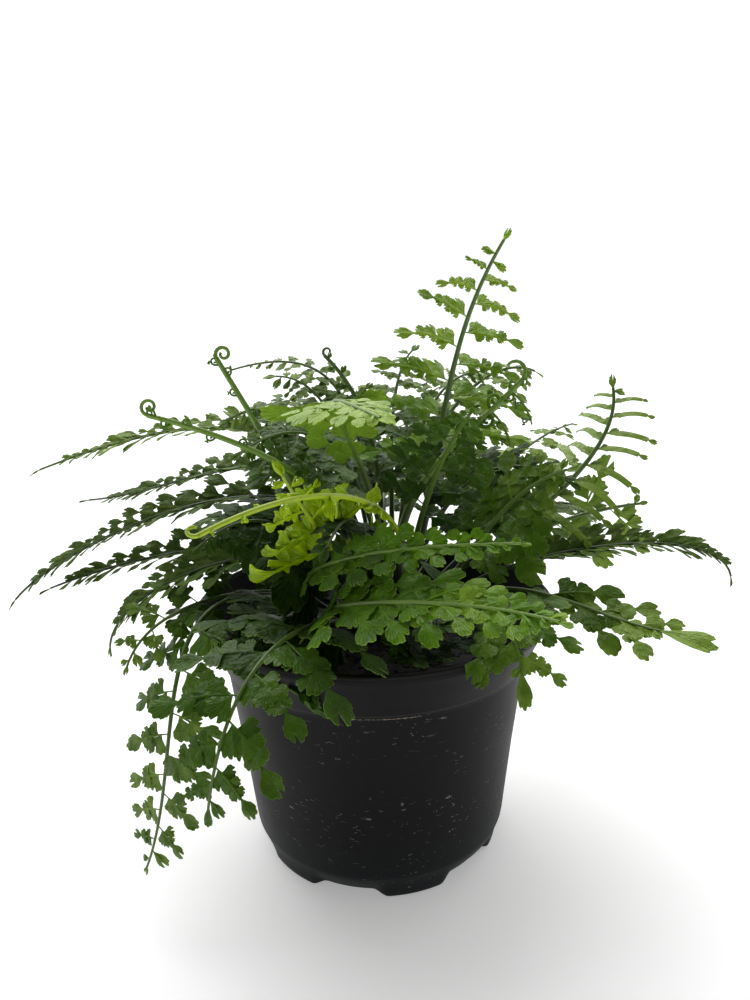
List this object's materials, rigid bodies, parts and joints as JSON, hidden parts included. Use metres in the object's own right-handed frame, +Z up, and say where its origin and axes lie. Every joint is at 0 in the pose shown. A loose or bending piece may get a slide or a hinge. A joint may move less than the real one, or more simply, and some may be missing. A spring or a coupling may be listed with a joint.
{
  "type": "potted fern",
  "caption": "Bushy fern with arching lobed fronds and coiled young tips, growing from a scaly crown in a round tapered black nursery pot of potting mix.",
  "frame": {"origin": "middle of the pot's underside, on the surface it stands on", "axes": "+Z up, +X to the right and -Y towards the viewer of the fern's front, where the low frond hangs over the rim on the left"},
  "size_m": [0.2738, 0.2411, 0.2396],
  "materials": {
    "pot_plastic": "matte",
    "potting_mix": "matte",
    "rootstock": "matte",
    "leaf_dark": "satin",
    "leaf_green": "satin",
    "leaf_light": "satin",
    "leaf_young": "satin"
  },
  "bodies": {
    "root": {"pot": "pot_plastic", "soil": "potting_mix", "crown": "rootstock", "frond_tall": "leaf_light", "frond_hook": "leaf_light", "frond_right_tall": "leaf_green", "frond_right_mid": "leaf_green", "frond_right_low": "leaf_dark", "frond_right_lower": "leaf_green", "frond_front_big": "leaf_light", "frond_front_mid": "leaf_light", "frond_hang_left": "leaf_green", "frond_hang_front": "leaf_green", "frond_left_rim": "leaf_green", "frond_left_a": "leaf_dark", "frond_left_b": "leaf_dark", "frond_left_c": "leaf_dark", "frond_left_d": "leaf_dark", "frond_left_e": "leaf_green", "frond_crozier_left": "leaf_light", "frond_crozier_up": "leaf_light", "frond_crozier_bright": "leaf_young", "frond_bright": "leaf_young", "frond_top_left": "leaf_green", "frond_top_crozier": "leaf_green", "frond_near_high": "leaf_light", "frond_back_right": "leaf_green", "frond_top_mid": "leaf_green", "frond_top_right": "leaf_green", "frond_mid_left": "leaf_green", "frond_mid_front": "leaf_light", "frond_mid_right": "leaf_green", "frond_low_left": "leaf_dark", "frond_rim_right": "leaf_green", "frond_rim_front": "leaf_dark", "frond_fill_front": "leaf_dark", "frond_fill_left": "leaf_dark", "frond_fill_right": "leaf_dark", "frond_fill_mid": "leaf_green", "frond_fill_back": "leaf_green", "frond_fill_top": "leaf_green", "frond_fill_low_front": "leaf_green", "frond_back_a": "leaf_dark", "frond_back_b": "leaf_green", "frond_back_c": "leaf_green", "frond_back_d": "leaf_green", "frond_back_e": "leaf_dark"}
  },
  "joints": []
}
